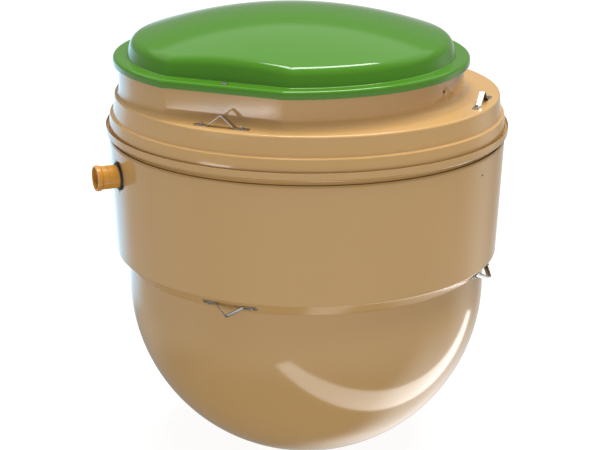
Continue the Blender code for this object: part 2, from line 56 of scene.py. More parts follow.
# Lower tank
FOOT_RADIUS = 0.300
BOWL_RADIUS = 0.8765
BOWL_CENTRE = math.sqrt(BOWL_RADIUS**2 - FOOT_RADIUS**2)
BOWL_TOP = 0.945
DRUM_FOOT = 1.006
DRUM_FOOT_RADIUS = 0.9335
DRUM_CORNER = 0.008
DRUM_TOP = 1.569
DRUM_TOP_RADIUS = 0.9565
DRUM_SHOULDER = 0.009

# Flange joint
FLANGE_RADIUS = 0.970
FLANGE_TOP = 1.631
FLANGE_JOINT = 1.598
FLANGE_INNER_RADIUS = 0.9485
FLANGE_EDGE = 0.003
JOINT_GROOVE_RADIUS = 0.9440
JOINT_LINER = 0.0045
RIM_GROOVE_DEPTH = 0.017
RIM_LIP = 0.0028

# Cover
COVER_FOOT_RADIUS = 0.9565
LEDGE_HEIGHT = 1.687
LEDGE_RADIUS = 0.949
LEDGE_INNER_RADIUS = 0.935
LEDGE_ROUND = 0.005
DECK_HEIGHT = 1.7835
DECK_RADIUS = 0.9265
DECK_ROUND = 0.012
DECK_EDGE_DEPTH = 0.020

# Access neck and lid, with one flat side
NECK_OFFSET = -0.0757
FLAT_AZIMUTH = -22.0
NECK_RADIUS = 0.828
NECK_FLAT = 0.773
NECK_CORNER = 0.060
NECK_FILLET = 0.044
LID_RIM_RADIUS = 0.8535
LID_RIM_FLAT = 0.801
LID_RIM_CORNER = 0.040
LID_SKIRT_FOOT = 1.925
LID_RIM_TOP = 1.961
LID_RIM_ROUND = 0.016
DOME_FOOT_RADIUS = 0.786
DOME_FOOT_FLAT = 0.7275
DOME_CORNER = 0.050
DOME_DRAFT = 0.014
DOME_FOOT_FILLET = 0.006
SHOULDER_RADIUS = 0.783
SHOULDER_HEIGHT = 2.030
SHOULDER_ROUND = 0.060
WALL_TILT = math.radians(72.0)
LID_APEX = 2.171
ARC_SIDES = 216
CORNER_SIDES = 12
FLAT_SIDES = 36

# Pipe stubs
PIPE_RADIUS = 0.055
PIPE_WALL = 0.0032
PIPE_INNER_END = 0.860
PIPE_SIDES = 96
INLET_AZIMUTH = -67.5
INLET_HEIGHT = 1.439
INLET_MOUTH = 1.0665
COLLAR_RADIUS = 0.0605
COLLAR_LENGTH = 0.028
RIDGE_BACK = 0.0565
RIDGE_RISE = 0.0009
OUTLET_AZIMUTH = 112.5
OUTLET_HEIGHT = 1.367
OUTLET_MOUTH = 1.055
GASKET_RADIUS = 0.0665
GASKET_DEPTH = 0.012
SLEEVE_RADIUS = 0.060

# Lugs bent from flat bar, and their bolts
LUG_WIDTH = 0.025
LUG_THICKNESS = 0.005
LUG_HALF_LENGTH = 0.133
LUG_BEND = 0.068
LUG_RISE = 0.055
LUG_TIP = 0.007
LUG_EDGE = 0.0011
BOLT_OFFSET = 0.0995
LOWER_LUG_AZIMUTHS = (-22.3, 67.7, 157.7, 247.7)
UPPER_LUG_PLACES = ((-25.6, 0.863, -22.0), (69.2, 0.870, 69.2), (159.2, 0.870, 159.2))
WASHER_RADIUS = 0.0090
WASHER_THICKNESS = 0.0016
NUT_APOTHEM = 0.0065
NUT_HEIGHT = 0.0060
STUD_RADIUS = 0.0040
STUD_HEIGHT = 0.0025

# Small fittings
LOCK_LENGTH = 0.028
LOCK_WIDTH = 0.016
LOCK_HEIGHT = 0.008
LOCK_DISTANCE = 0.766
DRUM_PLUG_AZIMUTH = 57.5
DRUM_PLUG_HEIGHT = 1.492
DRUM_PLUG_RADIUS = 0.007
NECK_PLUG_AZIMUTH = 57.5
NECK_PLUG_HEIGHT = 1.868
NECK_PLUG_RADIUS = 0.008
PLUG_HEIGHT = 0.004

NECK_AXIS = Vector((NECK_OFFSET, 0.0, 0.0))
UP = Vector((0.0, 0.0, 1.0))


# Shader node groups that several finishes share

def add_node(tree, kind, **values):
    """Node of a kind; a value named after one of its sockets or settings is set on it."""
    node = tree.nodes.new(kind)
    for name, value in values.items():
        socket = name.replace("_", " ")
        if socket in node.inputs:
            node.inputs[socket].default_value = value
        else:
            setattr(node, name, value)
    return node


def new_group(name, inputs, outputs):
    tree = bpy.data.node_groups.new(name, "ShaderNodeTree")
    for label, kind, value in inputs:
        socket = tree.interface.new_socket(label, in_out="INPUT", socket_type=kind)
        socket.default_value = value
    for label, kind in outputs:
        tree.interface.new_socket(label, in_out="OUTPUT", socket_type=kind)
    return tree, tree.nodes.new("NodeGroupInput"), tree.nodes.new("NodeGroupOutput")


def math_node(tree, operation, first, second):
    node = add_node(tree, "ShaderNodeMath", operation=operation)
    for socket, value in zip(node.inputs, (first, second)):
        if isinstance(value, bpy.types.NodeSocket):
            tree.links.new(value, socket)
        else:
            socket.default_value = value
    return node.outputs[0]


def noise(tree, place, scale, detail=2.0, roughness=0.5):
    node = add_node(tree, "ShaderNodeTexNoise", Detail=detail, Roughness=roughness)
    tree.links.new(place, node.inputs["Vector"])
    if isinstance(scale, bpy.types.NodeSocket):
        tree.links.new(scale, node.inputs["Scale"])
    else:
        node.inputs["Scale"].default_value = scale
    return node.outputs["Fac"]


def around_zero(tree, value, amount):
    """A noise value moved to run either side of zero, times an amount."""
    return math_node(tree, "MULTIPLY", math_node(tree, "SUBTRACT", value, 0.5), amount)


def make_moulded_group():
    """Tone drift, fine speckle and orange peel of a moulded plastic skin."""
    tree, given, result = new_group(
        "moulded_skin",
        (
            ("Colour", "NodeSocketColor", (0.5, 0.5, 0.5, 1.0)),
            ("Tone Drift", "NodeSocketFloat", 0.06),
            ("Speckle", "NodeSocketFloat", 0.03),
            ("Roughness", "NodeSocketFloat", 0.25),
            ("Roughness Drift", "NodeSocketFloat", 0.03),
            ("Ripple", "NodeSocketFloat", 0.3),
            ("Peel", "NodeSocketFloat", 1.0),
        ),
        (("Colour", "NodeSocketColor"), ("Roughness", "NodeSocketFloat"), ("Height", "NodeSocketFloat")),
    )
    place = tree.nodes.new("ShaderNodeTexCoord").outputs["Object"]
    broad = noise(tree, place, 1.7, 3.0)
    fine = noise(tree, place, 420.0, 2.0)
    drift = around_zero(tree, broad, given.outputs["Tone Drift"])
    speckle = around_zero(tree, fine, given.outputs["Speckle"])
    value = math_node(tree, "ADD", math_node(tree, "ADD", drift, speckle), 1.0)
    tone = add_node(tree, "ShaderNodeHueSaturation")
    tree.links.new(given.outputs["Colour"], tone.inputs["Color"])
    tree.links.new(value, tone.inputs["Value"])
    tree.links.new(tone.outputs["Color"], result.inputs["Colour"])
    patches = noise(tree, place, 9.0, 4.0, 0.6)
    rough = around_zero(tree, patches, given.outputs["Roughness Drift"])
    tree.links.new(math_node(tree, "ADD", rough, given.outputs["Roughness"]), result.inputs["Roughness"])
    wave = math_node(tree, "MULTIPLY", noise(tree, place, 5.0, 1.0), given.outputs["Ripple"])
    peel = math_node(tree, "MULTIPLY", noise(tree, place, 160.0, 1.0), given.outputs["Peel"])
    height = math_node(tree, "ADD", wave, math_node(tree, "MULTIPLY", peel, 0.012))
    tree.links.new(height, result.inputs["Height"])
    return tree


def make_brushed_group():
    """Fine scratches and stains of rolled stainless steel."""
    tree, given, result = new_group(
        "rolled_steel",
        (
            ("Colour", "NodeSocketColor", (0.5, 0.5, 0.5, 1.0)),
            ("Stain", "NodeSocketFloat", 0.15),
            ("Roughness", "NodeSocketFloat", 0.3),
            ("Scratch", "NodeSocketFloat", 0.1),
        ),
        (("Colour", "NodeSocketColor"), ("Roughness", "NodeSocketFloat"), ("Height", "NodeSocketFloat")),
    )
    place = tree.nodes.new("ShaderNodeTexCoord").outputs["Object"]
    stretch = add_node(tree, "ShaderNodeMapping")
    stretch.inputs["Scale"].default_value = (60.0, 60.0, 900.0)
    tree.links.new(place, stretch.inputs["Vector"])
    lines = noise(tree, stretch.outputs["Vector"], 1.0, 3.0, 0.6)
    stains = noise(tree, place, 45.0, 4.0, 0.6)
    value = math_node(tree, "ADD", around_zero(tree, stains, given.outputs["Stain"]), 1.0)
    tone = add_node(tree, "ShaderNodeHueSaturation")
    tree.links.new(given.outputs["Colour"], tone.inputs["Color"])
    tree.links.new(value, tone.inputs["Value"])
    tree.links.new(tone.outputs["Color"], result.inputs["Colour"])
    rough = around_zero(tree, lines, given.outputs["Scratch"])
    tree.links.new(math_node(tree, "ADD", rough, given.outputs["Roughness"]), result.inputs["Roughness"])
    tree.links.new(lines, result.inputs["Height"])
    return tree


MOULDED = make_moulded_group()
BRUSHED = make_brushed_group()


def make_finish(name, group, colour, bump, depth, metallic=0.0, **values):
    """Principled material fed by a shared group; values are that group's own."""
    material = bpy.data.materials.new(name)
    material.use_nodes = True
    tree = material.node_tree
    shader = tree.nodes["Principled BSDF"]
    shader.inputs["Metallic"].default_value = metallic
    skin = add_node(tree, "ShaderNodeGroup", node_tree=group)
    skin.inputs["Colour"].default_value = (*colour, 1.0)
    for label, value in values.items():
        skin.inputs[label.replace("_", " ")].default_value = value
    relief = add_node(tree, "ShaderNodeBump", Strength=bump, Distance=depth)
    tree.links.new(skin.outputs["Colour"], shader.inputs["Base Color"])
    tree.links.new(skin.outputs["Roughness"], shader.inputs["Roughness"])
    tree.links.new(skin.outputs["Height"], relief.inputs["Height"])
    tree.links.new(relief.outputs["Normal"], shader.inputs["Normal"])
    return material


BEIGE = make_finish("beige_moulding", MOULDED, (0.549, 0.334, 0.130), 0.25, 0.004, Roughness=0.125)
GREEN = make_finish("green_moulding", MOULDED, (0.061, 0.205, 0.011), 0.25, 0.003, Roughness=0.10)
OCHRE = make_finish("ochre_pipe_plastic", MOULDED, (0.640, 0.300, 0.045), 0.2, 0.001, Roughness=0.26)
RUBBER = make_finish(
    "black_sleeve_rubber", MOULDED, (0.020, 0.024, 0.026), 0.3, 0.001, Roughness=0.48, Speckle=0.2
)
BROWN = make_finish("brown_plug_plastic", MOULDED, (0.220, 0.110, 0.040), 0.2, 0.001, Roughness=0.40)
DARK = make_finish("dark_keyway", MOULDED, (0.015, 0.016, 0.014), 0.2, 0.001, Roughness=0.45)
STEEL = make_finish("flat_bar_steel", BRUSHED, (0.46, 0.455, 0.44), 0.15, 0.0004, 1.0, Roughness=0.34)
BOLT_STEEL = make_finish("bolt_steel", BRUSHED, (0.50, 0.50, 0.49), 0.1, 0.0003, 1.0, Roughness=0.26)


# Mesh building

def outward(azimuth):
    """Level unit vector that points away from the axis at an azimuth in degrees."""
    angle = math.radians(azimuth)
    return Vector((math.sin(angle), -math.cos(angle), 0.0))


def radial_frame(azimuth):
    """Rotation whose X runs along the wall to the right, Y up and Z away from the axis."""
    away = outward(azimuth)
    return Matrix((UP.cross(away), UP, away)).transposed().to_4x4()


def arc(centre, radius, start, end, steps):
    """Points (r, z) along an arc, with angles in degrees from +r towards +z."""
    angles = [math.radians(start + (end - start) * i / steps) for i in range(steps + 1)]
    return [(centre[0] + radius * math.cos(a), centre[1] + radius * math.sin(a)) for a in angles]


def rounded(corners, closed=True):
    """Profile through (r, z, radius) corners, each turned through its radius in small steps."""
    count = len(corners)
    points = []
    for i, (r, z, radius) in enumerate(corners):
        here = Vector((r, z))
        if radius == 0.0 or (not closed and i in (0, count - 1)):
            points.append(here)
            continue
        before = (Vector(corners[i - 1][:2]) - here).normalized()
        after = (Vector(corners[(i + 1) % count][:2]) - here).normalized()
        half = before.angle(after) / 2
        reach = radius / math.tan(half)
        centre = here + (before + after).normalized() * (radius / math.sin(half))
        start = here + before * reach - centre
        turn = start.angle_signed(here + after * reach - centre)
        steps = max(3, math.ceil(abs(math.degrees(turn)) / 12))
        points.append(here + before * (reach + HOLD))
        for k in range(steps + 1):
            angle = -turn * k / steps
            spin = Matrix.Rotation(angle, 2)
            points.append(centre + spin @ start)
        points.append(here + after * (reach + HOLD))
    return filled([tuple(point) for point in points], closed)


def filled(points, closed=False):
    """The same profile with its long straight runs divided."""
    dense = []
    pairs = list(zip(points, points[1:] + points[:1] if closed else points[1:]))
    for first, second in pairs:
        parts = max(1, math.ceil(math.dist(first, second) / LONGEST_STEP))
        for k in range(parts):
            dense.append(tuple(a + (b - a) * k / parts for a, b in zip(first, second)))
    if not closed:
        dense.append(points[-1])
    return dense


def finish_mesh(name, bm, material, nodes, smooth_angle=32.0):
    """Turns a bmesh into a piece that stands for its solids and rides with them."""
    bmesh.ops.recalc_face_normals(bm, faces=bm.faces)
    mesh = bpy.data.meshes.new(name)
    bm.to_mesh(mesh)
    bm.free()
    mesh.materials.append(material)
    mesh.shade_smooth()
    mesh.set_sharp_from_angle(angle=math.radians(smooth_angle))
    piece = bpy.data.objects.new(name, mesh)
    bpy.context.scene.collection.objects.link(piece)
    if nodes:
        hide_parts(*nodes)
        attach(piece, "root")
    return piece


def place_piece(piece, matrix):
    """Moves a piece's mesh to its place, so that its object stays at the origin."""
    piece.data.transform(matrix)
    return piece


def loft(rings, closed=False, caps=False):
    """Mesh through rings of equal counts; a one-point ring is a pole."""
    bm = bmesh.new()
    rows = [[bm.verts.new(point) for point in ring] for ring in rings]
    pairs = list(zip(rows, rows[1:]))
    if closed:
        pairs.append((rows[-1], rows[0]))
    for upper, lower in pairs:
        count = max(len(upper), len(lower))
        for i in range(count):
            j = (i + 1) % count
            if len(upper) == 1:
                bm.faces.new((upper[0], lower[i], lower[j]))
            elif len(lower) == 1:
                bm.faces.new((upper[i], lower[0], upper[j]))
            else:
                bm.faces.new((upper[i], lower[i], lower[j], upper[j]))
    if caps:
        bm.faces.new(rows[0])
        bm.faces.new(list(reversed(rows[-1])))
    return bm


def turned_rings(profile, sides):
    rings = []
    for radius, height in profile:
        if radius == 0.0:
            rings.append([Vector((0.0, 0.0, height))])
            continue
        turns = [2 * math.pi * i / sides for i in range(sides)]
        rings.append([Vector((radius * math.sin(t), -radius * math.cos(t), height)) for t in turns])
    return rings


def turned(name, profile, material, nodes, sides=ROUND_STEPS, closed=True):
    return finish_mesh(name, loft(turned_rings(profile, sides), closed), material, nodes)


# Lower tank

def make_bowl():
    inner = BOWL_RADIUS - TANK_WALL
    foot_angle = math.degrees(math.asin(-BOWL_CENTRE / BOWL_RADIUS))
    floor_top = TANK_WALL * 1.5
    inner_angle = math.degrees(math.asin((floor_top - BOWL_CENTRE) / inner))
    profile = [(0.0, floor_top), (inner * 0.15, floor_top)]
    profile += arc((0.0, BOWL_CENTRE), inner, inner_angle, 0.0, 30)
    profile += [(inner, BOWL_TOP - HOLD), (inner, BOWL_TOP), (BOWL_RADIUS, BOWL_TOP)]
    profile += [(BOWL_RADIUS, BOWL_TOP - HOLD), (BOWL_RADIUS, (BOWL_TOP + BOWL_CENTRE) / 2)]
    profile += arc((0.0, BOWL_CENTRE), BOWL_RADIUS, 0.0, foot_angle, 64)
    profile += [(FOOT_RADIUS * 0.6, 0.0), (0.0, 0.0)]
    return turned("bowl_shell", profile, BEIGE, ["tank_bowl"], closed=False)


def drum_radius(height):
    share = (height - DRUM_FOOT) / (DRUM_TOP - DRUM_FOOT)
    return DRUM_FOOT_RADIUS + share * (DRUM_TOP_RADIUS - DRUM_FOOT_RADIUS)


def drum_face(across, height):
    """Distance from the axis to the drum's wall, measured square to a fitting's facing."""
    return math.sqrt(drum_radius(height) ** 2 - across**2)


def cut_round_hole(piece, azimuth, height, radius):
    """Cuts a round hole through a wall and keeps the result in the piece's own mesh."""
    near, far = PIPE_INNER_END, FLANGE_RADIUS + TANK_WALL
    profile = [(0.0, near), (radius, near), (radius, far), (0.0, far)]
    cutter = finish_mesh("hole", loft(turned_rings(profile, PIPE_SIDES)), BEIGE, [])
    place_piece(cutter, Matrix.Translation((0.0, 0.0, height)) @ radial_frame(azimuth))
    difference = piece.modifiers.new("hole", "BOOLEAN")
    difference.operation = "DIFFERENCE"
    difference.solver = "EXACT"
    difference.object = cutter
    graph = bpy.context.evaluated_depsgraph_get()
    cut_mesh = bpy.data.meshes.new_from_object(piece.evaluated_get(graph))
    piece.modifiers.remove(difference)
    piece.data = cut_mesh
    bpy.data.objects.remove(cutter)


def make_drum():
    """Drafted wall, rounded foot and sloping shelf down to the bowl."""
    foot = BOWL_TOP + GAP
    corners = [
        (DRUM_TOP_RADIUS - TANK_WALL * 0.5, DRUM_TOP, 0.0),
        (drum_radius(DRUM_TOP - DRUM_SHOULDER), DRUM_TOP - DRUM_SHOULDER, DRUM_SHOULDER * 1.6),
        (DRUM_FOOT_RADIUS, DRUM_FOOT, DRUM_CORNER),
        (BOWL_RADIUS, foot, 0.0),
        (BOWL_RADIUS - TANK_WALL, foot, 0.0),
        (DRUM_FOOT_RADIUS - TANK_WALL, DRUM_FOOT + TANK_WALL * 0.5, 0.0),
        (DRUM_TOP_RADIUS - TANK_WALL, DRUM_TOP, 0.0),
    ]
    drum = turned("drum_shell", rounded(corners), BEIGE, ["tank_drum"])
    for azimuth, height in ((INLET_AZIMUTH, INLET_HEIGHT), (OUTLET_AZIMUTH, OUTLET_HEIGHT)):
        cut_round_hole(drum, azimuth, height, SLEEVE_RADIUS)
    return drum


def make_tank_flange():
    """Underside of the flange, drawn in to a groove above the drum's shoulder."""
    foot = DRUM_TOP + GAP
    inner = JOINT_GROOVE_RADIUS - JOINT_LINER
    corners = [
        (FLANGE_RADIUS, FLANGE_JOINT, 0.0012),
        (FLANGE_RADIUS - 0.0030, FLANGE_JOINT - 0.0045, 0.0010),
        (JOINT_GROOVE_RADIUS + 0.0030, foot + 0.0080, 0.0060),
        (JOINT_GROOVE_RADIUS, foot, 0.0),
        (inner, foot, 0.0),
        (inner, FLANGE_JOINT, 0.0),
    ]
    return turned("flange_lip", rounded(corners), BEIGE, ["tank_flange"])


# Cover and lid, which share a D-shaped outline

def d_outline(radius, flat, corner):
    """Points and outward normals of a circle with one flat side, about the neck's axis."""
    half_angle = math.acos((flat - corner) / (radius - corner))
    round_part = 2 * math.pi - 2 * half_angle
    outline = []
    for i in range(ARC_SIDES + 1):
        away = outward(FLAT_AZIMUTH + math.degrees(half_angle + round_part * i / ARC_SIDES))
        outline.append((away * radius, away))
    ends = []
    for side in (-1, 1):
        centre = outward(FLAT_AZIMUTH + math.degrees(side * half_angle)) * (radius - corner)
        if side < 0:
            angles = [-half_angle * (1 - i / CORNER_SIDES) for i in range(1, CORNER_SIDES + 1)]
        else:
            angles = [half_angle * i / CORNER_SIDES for i in range(CORNER_SIDES)]
        aways = [outward(FLAT_AZIMUTH + math.degrees(angle)) for angle in angles]
        ends.append([(centre + away * corner, away) for away in aways])
    start, end = ends[0][-1][0], ends[1][0][0]
    flat_away = outward(FLAT_AZIMUTH)
    flat_part = [(start.lerp(end, i / FLAT_SIDES), flat_away) for i in range(1, FLAT_SIDES)]
    return outline + ends[0] + flat_part + ends[1]


def offset_ring(outline, distance, height):
    points = [point + normal * distance for point, normal in outline]
    return [NECK_AXIS + Vector((point.x, point.y, height)) for point in points]


def reach_to_deck_edge(point, normal):
    """Distance from a neck point, along its normal, to the deck's round edge."""
    start = NECK_AXIS + point
    along = start.dot(normal)
    return -along + math.sqrt(along**2 - start.length_squared + DECK_RADIUS**2)


def make_cover():
    """One moulding: neck, its flared foot, level deck, stepped wall and flange."""
    outline = d_outline(NECK_RADIUS, NECK_FLAT, NECK_CORNER)
    reaches = [reach_to_deck_edge(point, normal) for point, normal in outline]
    edge_aways = []
    for (point, normal), reach in zip(outline, reaches):
        spot = NECK_AXIS + point + normal * reach
        edge_aways.append(spot.normalized())

    def from_neck(distances, height):
        points = [point + normal * away for (point, normal), away in zip(outline, distances)]
        return [NECK_AXIS + Vector((point.x, point.y, height)) for point in points]

    def round_axis(radius, height):
        return [Vector((away.x * radius, away.y * radius, height)) for away in edge_aways]

    neck_top = LID_RIM_TOP - LID_WALL - GAP
    fillet_top = DECK_HEIGHT + NECK_FILLET
    none = [0.0] * len(outline)
    flare = [min(NECK_FILLET, reach - DECK_ROUND - 0.001) for reach in reaches]
    rings = []
    for share in (0.0, 0.02, 0.25, 0.5, 0.75, 0.99, 1.0):
        rings.append(from_neck(none, neck_top + (fillet_top - neck_top) * share))
    steps = 14
    for i in range(1, steps + 1):
        turn = math.pi / 2 * i / steps
        height = DECK_HEIGHT + NECK_FILLET * (1 - math.sin(turn))
        rings.append(from_neck([away * (1 - math.cos(turn)) for away in flare], height))
    edge_starts = [reach - DECK_ROUND for reach in reaches]
    for share in (0.08, 0.5, 0.92):
        row = [a + (b - a) * share for a, b in zip(flare, edge_starts)]
        rings.append(from_neck(row, DECK_HEIGHT))
    for i in range(9):
        turn = math.pi / 2 * i / 8
        radius = DECK_RADIUS - DECK_ROUND * (1 - math.sin(turn))
        rings.append(round_axis(radius, DECK_HEIGHT - DECK_ROUND * (1 - math.cos(turn))))
    joint = FLANGE_JOINT + GAP
    groove_floor = FLANGE_TOP - RIM_GROOVE_DEPTH
    wall = [
        (DECK_RADIUS, DECK_HEIGHT - DECK_EDGE_DEPTH, 0.0),
        (LEDGE_INNER_RADIUS, LEDGE_HEIGHT + LEDGE_ROUND * 0.4, LEDGE_ROUND * 0.8),
        (LEDGE_RADIUS, LEDGE_HEIGHT, LEDGE_ROUND),
        (COVER_FOOT_RADIUS, FLANGE_TOP, 0.0),
        (COVER_FOOT_RADIUS, groove_floor, RIM_LIP),
        (FLANGE_RADIUS - RIM_LIP, groove_floor, RIM_LIP),
        (FLANGE_RADIUS - RIM_LIP, FLANGE_TOP, RIM_LIP * 0.35),
        (FLANGE_RADIUS, FLANGE_TOP, RIM_LIP * 0.45),
        (FLANGE_RADIUS, joint, FLANGE_EDGE * 0.7),
        (FLANGE_INNER_RADIUS, joint, 0.0),
    ]
    for radius, height in rounded(wall, closed=False):
        rings.append(round_axis(radius, height))
    inner_wall = [
        (COVER_FOOT_RADIUS - TANK_WALL, FLANGE_TOP),
        (LEDGE_RADIUS - TANK_WALL, LEDGE_HEIGHT - TANK_WALL),
        (LEDGE_INNER_RADIUS - TANK_WALL, LEDGE_HEIGHT - TANK_WALL * 0.5),
        (DECK_RADIUS - TANK_WALL, DECK_HEIGHT - DECK_EDGE_DEPTH),
    ]
    for radius, height in inner_wall:
        rings.append(round_axis(radius, height))
    under = DECK_HEIGHT - TANK_WALL
    rings.append(round_axis(DECK_RADIUS - TANK_WALL - 0.004, under))
    inner_flare = [min(NECK_FILLET, reach - TANK_WALL - 0.006) for reach in reaches]
    for i in range(6, -1, -1):
        turn = math.pi / 2 * i / 6
        height = under + (NECK_FILLET + TANK_WALL) * (1 - math.sin(turn))
        spread = [-TANK_WALL + (away + TANK_WALL) * (1 - math.cos(turn)) for away in inner_flare]
        rings.append(from_neck(spread, height))
    rings.append(from_neck([-TANK_WALL] * len(outline), neck_top))
    nodes = ["cover_wall", "cover_deck", "access_neck"]
    return finish_mesh("cover_moulding", loft(rings, closed=True), BEIGE, nodes)


def crown_height(reach):
    """Height of the lid's crown at a distance from the lid's axis."""
    return LID_APEX - (LID_APEX - SHOULDER_HEIGHT) * (reach / SHOULDER_RADIUS) ** 2


def dome_rings(inset, crown_shares, round_steps):
    """Rings of the dome from near its crown to the top of its side wall, shrunk by inset."""
    wall_top = d_outline(
        DOME_FOOT_RADIUS - DOME_DRAFT - inset,
        DOME_FOOT_FLAT - DOME_DRAFT - inset,
        DOME_CORNER - inset,
    )
    round_radius = SHOULDER_ROUND - inset
    edges = []
    for point, normal in wall_top:
        slope = math.atan(2 * (LID_APEX - SHOULDER_HEIGHT) * point.length / SHOULDER_RADIUS**2)
        start = point - normal * round_radius * (math.sin(WALL_TILT) - math.sin(slope))
        edges.append((start, normal, slope, crown_height(start.length) - inset / math.cos(slope)))
    rings = []
    for share in crown_shares:
        ring = []
        for start, normal, slope, height in edges:
            spot = start * share
            depth = inset / math.cos(math.atan(math.tan(slope) * share))
            ring.append(NECK_AXIS + Vector((spot.x, spot.y, crown_height(spot.length) - depth)))
        rings.append(ring)
    for i in range(round_steps + 1):
        ring = []
        for start, normal, slope, height in edges:
            tilt = slope + (WALL_TILT - slope) * i / round_steps
            spot = start + normal * round_radius * (math.sin(tilt) - math.sin(slope))
            drop = round_radius * (math.cos(slope) - math.cos(tilt))
            ring.append(NECK_AXIS + Vector((spot.x, spot.y, height - drop)))
        rings.append(ring)
    return rings


def between(upper, lower, shares):
    """Rings part of the way from one ring to another."""
    return [[a.lerp(b, share) for a, b in zip(upper, lower)] for share in shares]


def make_lid():
    """Domed lid with a level rim and a short skirt that hangs round the neck."""
    foot = d_outline(DOME_FOOT_RADIUS, DOME_FOOT_FLAT, DOME_CORNER)
    rim = d_outline(LID_RIM_RADIUS, LID_RIM_FLAT, LID_RIM_CORNER)
    shares = [0.04] + [0.08 * i for i in range(1, 13)] + [0.99]
    rings = [[NECK_AXIS + Vector((0.0, 0.0, LID_APEX))]]
    rings += dome_rings(0.0, shares, 12)
    wall_foot = offset_ring(foot, 0.0, LID_RIM_TOP + DOME_FOOT_FILLET)
    rings += between(rings[-1], wall_foot, (0.03, 0.25, 0.5, 0.75, 0.97, 1.0))
    for i in range(1, 6):
        turn = math.pi / 2 * i / 5
        out = DOME_FOOT_FILLET * (1 - math.cos(turn))
        rings.append(offset_ring(foot, out, LID_RIM_TOP + DOME_FOOT_FILLET * (1 - math.sin(turn))))
    rim_start = offset_ring(rim, -LID_RIM_ROUND, LID_RIM_TOP)
    rings += between(rings[-1], rim_start, (0.04, 0.5, 0.96))
    for i in range(10):
        turn = math.pi / 2 * i / 9
        inset = LID_RIM_ROUND * (1 - math.sin(turn))
        rings.append(offset_ring(rim, -inset, LID_RIM_TOP - LID_RIM_ROUND * (1 - math.cos(turn))))
    lip = LID_WALL * 0.3
    rings.append(offset_ring(rim, 0.0, LID_SKIRT_FOOT + lip + HOLD))
    for i in range(4):
        turn = math.pi / 2 * i / 3
        rings.append(offset_ring(rim, -lip * (1 - math.cos(turn)), LID_SKIRT_FOOT + lip * (1 - math.sin(turn))))
    rings.append(offset_ring(rim, -LID_WALL, LID_SKIRT_FOOT))
    under = LID_RIM_TOP - LID_WALL
    rings.append(offset_ring(rim, -LID_WALL, under - LID_RIM_ROUND + LID_WALL))
    rings.append(offset_ring(rim, -LID_RIM_ROUND, under))
    rings.append(offset_ring(foot, -LID_WALL, under))
    inner_shares = [0.3, 0.6, 0.9]
    inner = dome_rings(LID_WALL, inner_shares, 3)
    rings += list(reversed(inner[len(inner_shares):]))
    rings += list(reversed(inner[:len(inner_shares)]))
    rings.append([NECK_AXIS + Vector((0.0, 0.0, LID_APEX - LID_WALL))])
    return finish_mesh("lid_moulding", loft(rings), GREEN, ["lid"])


# Pipe stubs and their rubber sleeves

def place_radial(piece, azimuth, height):
    return place_piece(piece, Matrix.Translation((0.0, 0.0, height)) @ radial_frame(azimuth))


def make_inlet():
    """Stub with a fine ridge round its barrel and a collar with a rounded lip at its mouth."""
    bore = PIPE_RADIUS - PIPE_WALL
    ridge = INLET_MOUTH - RIDGE_BACK
    collar = INLET_MOUTH - COLLAR_LENGTH
    swell = COLLAR_RADIUS - PIPE_RADIUS
    corners = [
        (bore, PIPE_INNER_END, 0.0),
        (PIPE_RADIUS, PIPE_INNER_END, 0.0),
        (PIPE_RADIUS, ridge - 0.0035, 0.001),
        (PIPE_RADIUS + RIDGE_RISE, ridge - 0.0015, 0.001),
        (PIPE_RADIUS + RIDGE_RISE, ridge + 0.0015, 0.001),
        (PIPE_RADIUS, ridge + 0.0035, 0.001),
        (PIPE_RADIUS, collar - swell * 0.2, 0.003),
        (COLLAR_RADIUS, collar + swell * 1.4, 0.004),
        (COLLAR_RADIUS, INLET_MOUTH, 0.0036),
        (bore + 0.0005, INLET_MOUTH, 0.0016),
        (bore, INLET_MOUTH - 0.009, 0.002),
    ]
    pipe = turned("inlet_stub", rounded(corners), OCHRE, ["inlet_pipe"], PIPE_SIDES)
    return place_radial(pipe, INLET_AZIMUTH, INLET_HEIGHT)


def make_outlet():
    """Plain spigot with a chamfered end."""
    bore = PIPE_RADIUS - PIPE_WALL
    corners = [
        (bore, PIPE_INNER_END, 0.0),
        (PIPE_RADIUS, PIPE_INNER_END, 0.0),
        (PIPE_RADIUS, OUTLET_MOUTH - 0.006, 0.002),
        (PIPE_RADIUS - PIPE_WALL * 0.5, OUTLET_MOUTH, 0.0004),
        (bore, OUTLET_MOUTH, 0.0004),
    ]
    pipe = turned("outlet_stub", rounded(corners), OCHRE, ["outlet_pipe"], PIPE_SIDES)
    return place_radial(pipe, OUTLET_AZIMUTH, OUTLET_HEIGHT)


def make_sleeve(label, azimuth, height):
    """Rubber ring that hugs the drum's wall, with a soft lip round the pipe."""
    inner = PIPE_RADIUS + GAP
    sleeve = SLEEVE_RADIUS - 2 * GAP
    corners = [
        (inner, GASKET_DEPTH - 0.002, 0.0012),
        (inner, -TANK_WALL * 1.5, 0.0),
        (sleeve, -TANK_WALL * 1.5, 0.0),
        (sleeve, GAP, 0.0),
        (GASKET_RADIUS, GAP, 0.0006),
        (GASKET_RADIUS, GASKET_DEPTH * 0.62, 0.0025),
        (GASKET_RADIUS - GASKET_DEPTH * 0.4, GASKET_DEPTH, 0.003),
    ]
    rings = []
    for radius, stand in rounded(corners):
        turns = [2 * math.pi * i / PIPE_SIDES for i in range(PIPE_SIDES)]
        spots = [(radius * math.sin(turn), -radius * math.cos(turn)) for turn in turns]
        rings.append([Vector((x, y, drum_face(x, height + y) + stand)) for x, y in spots])
    piece = finish_mesh(label + "_sleeve", loft(rings, closed=True), RUBBER, [label + "_gasket"])
    return place_radial(piece, azimuth, height)


# Lugs and bolts

